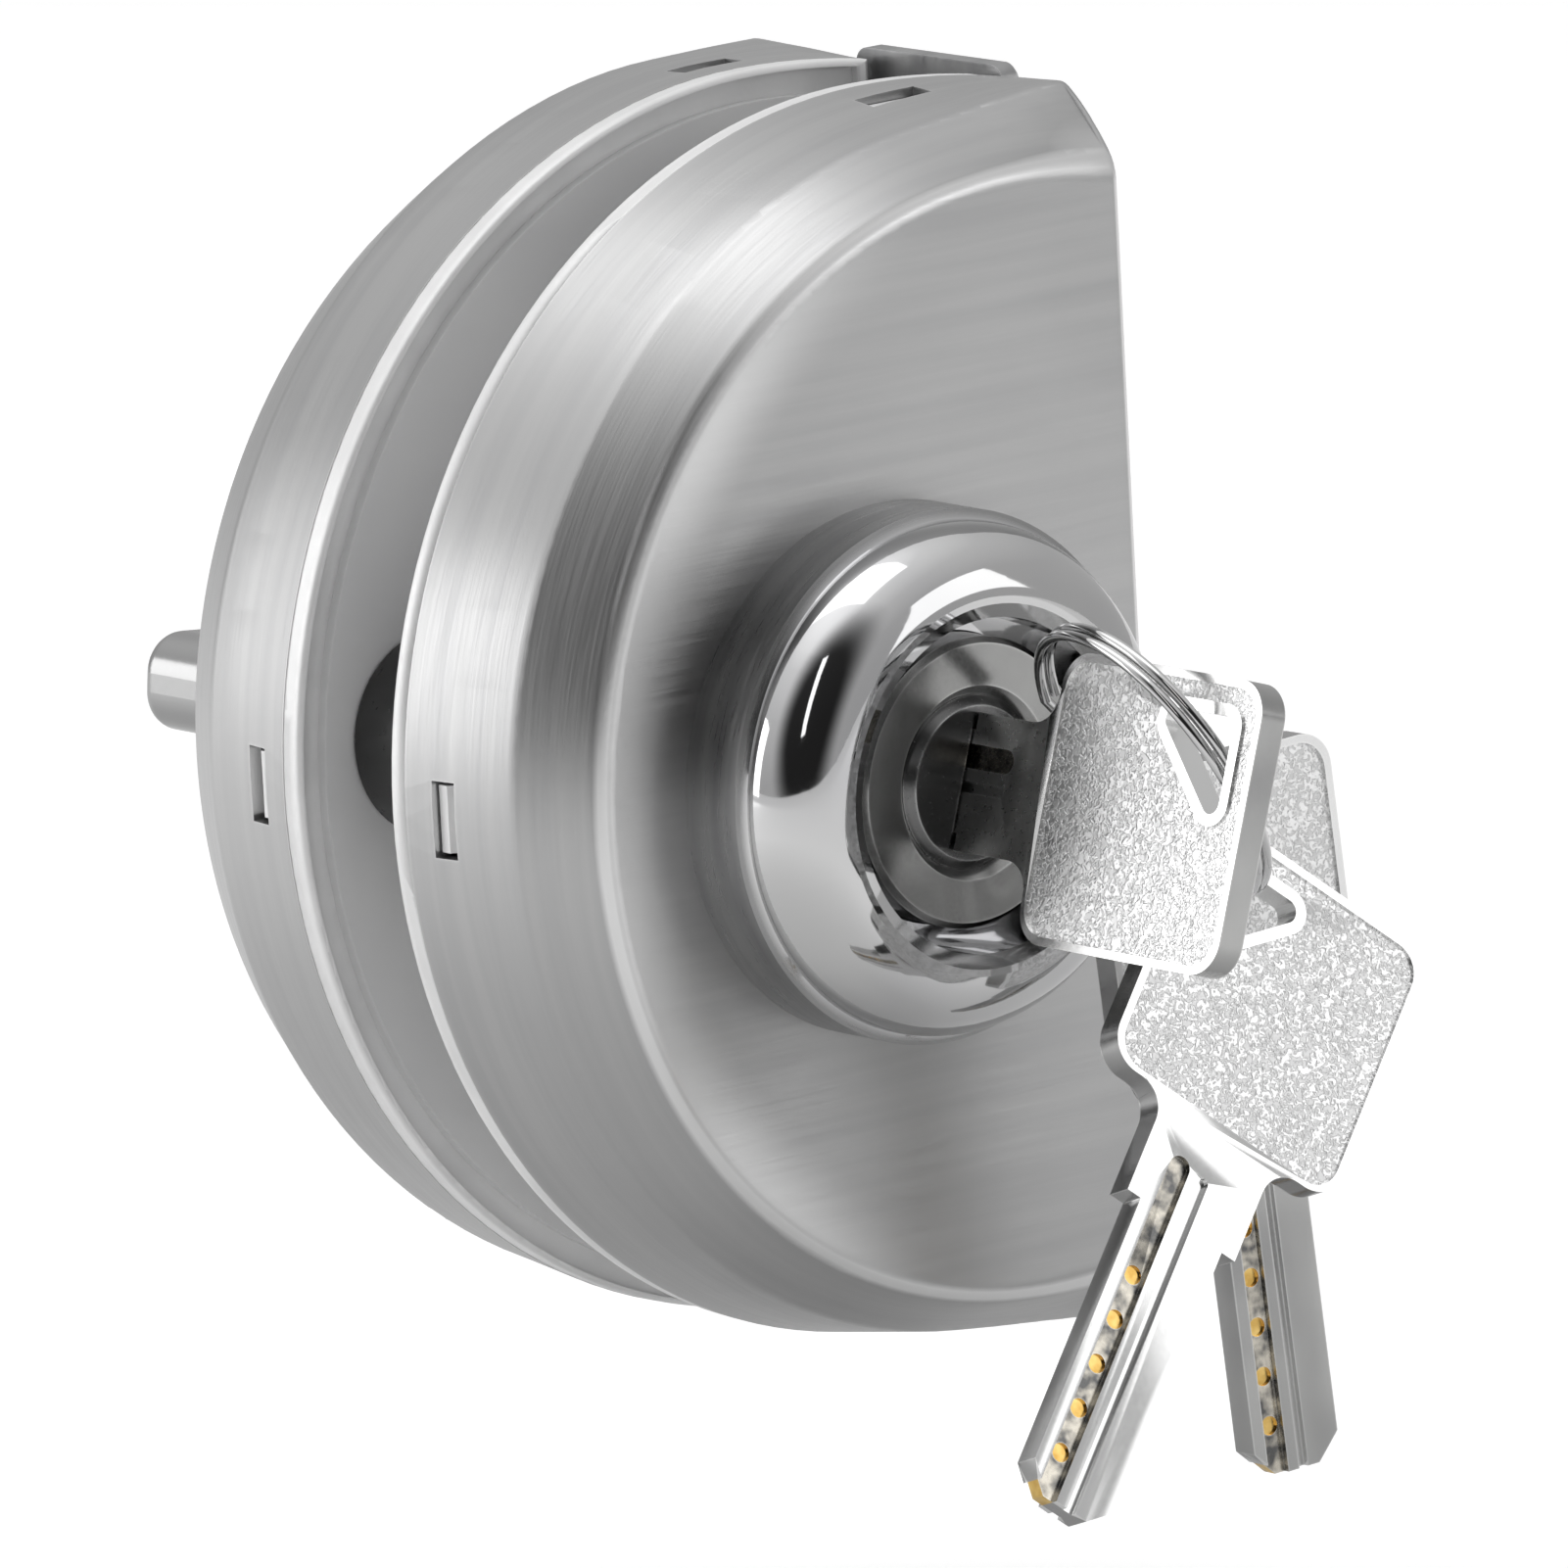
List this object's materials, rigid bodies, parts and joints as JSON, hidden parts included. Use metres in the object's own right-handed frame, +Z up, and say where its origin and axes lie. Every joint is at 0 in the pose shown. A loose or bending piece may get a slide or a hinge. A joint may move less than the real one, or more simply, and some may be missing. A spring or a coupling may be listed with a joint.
{
  "type": "glass cabinet door lock",
  "caption": "Clamp-on lock for a glass cabinet door: two D-shaped metal halves grip the glass, a key cylinder in front and a thumbturn behind drive a sliding bolt, with keys on a split ring.",
  "frame": {"origin": "Point where the lock's turning axis crosses the middle plane of the glass slot", "axes": "+X points out of the straight side, the way the bolt travels; -Y points to the keyed front; +Z points up along the straight side"},
  "size_m": [0.0713, 0.116, 0.112],
  "materials": {
    "cover_steel": "brushed satin",
    "cast_base": "satin cast zinc",
    "grey_pad": "matte",
    "case_steel": "satin plated",
    "dark_plate": "satin dark",
    "bolt_steel": "satin",
    "hard_steel": "ground",
    "spring_steel": "bright wire",
    "cylinder_nickel": "satin nickel plate",
    "pin_brass": "turned",
    "polished_ring": "polished",
    "thumb_chrome": "satin to polished",
    "black_bush": "matte",
    "screw_steel": "zinc plated",
    "key_nickel": "polished nickel plate with pebbled head",
    "ring_steel": "polished"
  },
  "bodies": {
    "housing": {"front_cover": "cover_steel", "rear_cover": "cover_steel", "front_base": "cast_base", "rear_base": "cast_base", "front_pad": "grey_pad", "rear_pad": "grey_pad", "lock_case": "case_steel", "case_lid": "case_steel", "edge_plate": "dark_plate", "detent_ball": "hard_steel", "detent_spring": "spring_steel", "cylinder_body": "cylinder_nickel", "driver_pins": "pin_brass", "pin_springs": "spring_steel", "pin_caps": "pin_brass", "escutcheon_ring": "polished_ring", "thumb_rose": "polished_ring", "thumb_bearing": "pin_brass", "glass_bushes": "black_bush", "clamp_screws": "screw_steel", "cylinder_screws": "screw_steel", "case_screws": "screw_steel", "edge_plate_screws": "screw_steel"},
    "plug": {"cylinder_plug": "cylinder_nickel", "key_pins": "pin_brass", "plug_clip": "spring_steel", "tailpiece": "hard_steel"},
    "thumbturn": {"thumbturn": "thumb_chrome", "thumb_spindle": "hard_steel", "stem_clip": "spring_steel", "drive_cam": "hard_steel"},
    "bolt": {"deadbolt": "bolt_steel"},
    "key": {"key_in_lock": "key_nickel"},
    "ring": {"key_ring": "ring_steel"},
    "front_loose_key": {"hanging_key": "key_nickel"},
    "rear_loose_key": {"rear_hanging_key": "key_nickel"}
  },
  "joints": [
    {"name": "plug_turn", "type": "hinge", "parent": "housing", "child": "plug", "pos_m": [0, 0, 0], "axis": [0, 1, 0], "range_deg": [-18, 72]},
    {"name": "thumb_turn", "type": "hinge", "parent": "housing", "child": "thumbturn", "pos_m": [0, 0, 0], "axis": [0, 1, 0], "range_deg": [-18.01, 72.01]},
    {"name": "bolt_slide", "type": "slide", "parent": "housing", "child": "bolt", "axis": [1, 0, 0], "range_m": [-0.00241, 0.00961]},
    {"name": "key_slide", "type": "slide", "parent": "plug", "child": "key", "axis": [0, -1, 0], "range_m": [0, 0.028]},
    {"name": "ring_swing", "type": "hinge", "parent": "key", "child": "ring", "pos_m": [0.00141, -0.06585, 0.00447], "axis": [-0.4158, 0.2297, 0.88], "range_deg": [-3, 3]},
    {"name": "front_key_swing", "type": "hinge", "parent": "ring", "child": "front_loose_key", "pos_m": [0.01024, -0.05589, -0.00879], "axis": [-0.2366, -0.9664, 0.1008], "range_deg": [-4, 4]},
    {"name": "rear_key_swing", "type": "hinge", "parent": "ring", "child": "rear_loose_key", "pos_m": [0.01075, -0.04593, -0.00615], "axis": [0.1449, -0.8074, -0.5719], "range_deg": [-4, 4]}
  ],
  "couplings": [
    {"joint": "thumb_turn", "follows": "plug_turn", "ratio": 1},
    {"joint": "bolt_slide", "follows": "plug_turn", "m_per_rad": 0.0076394}
  ]
}
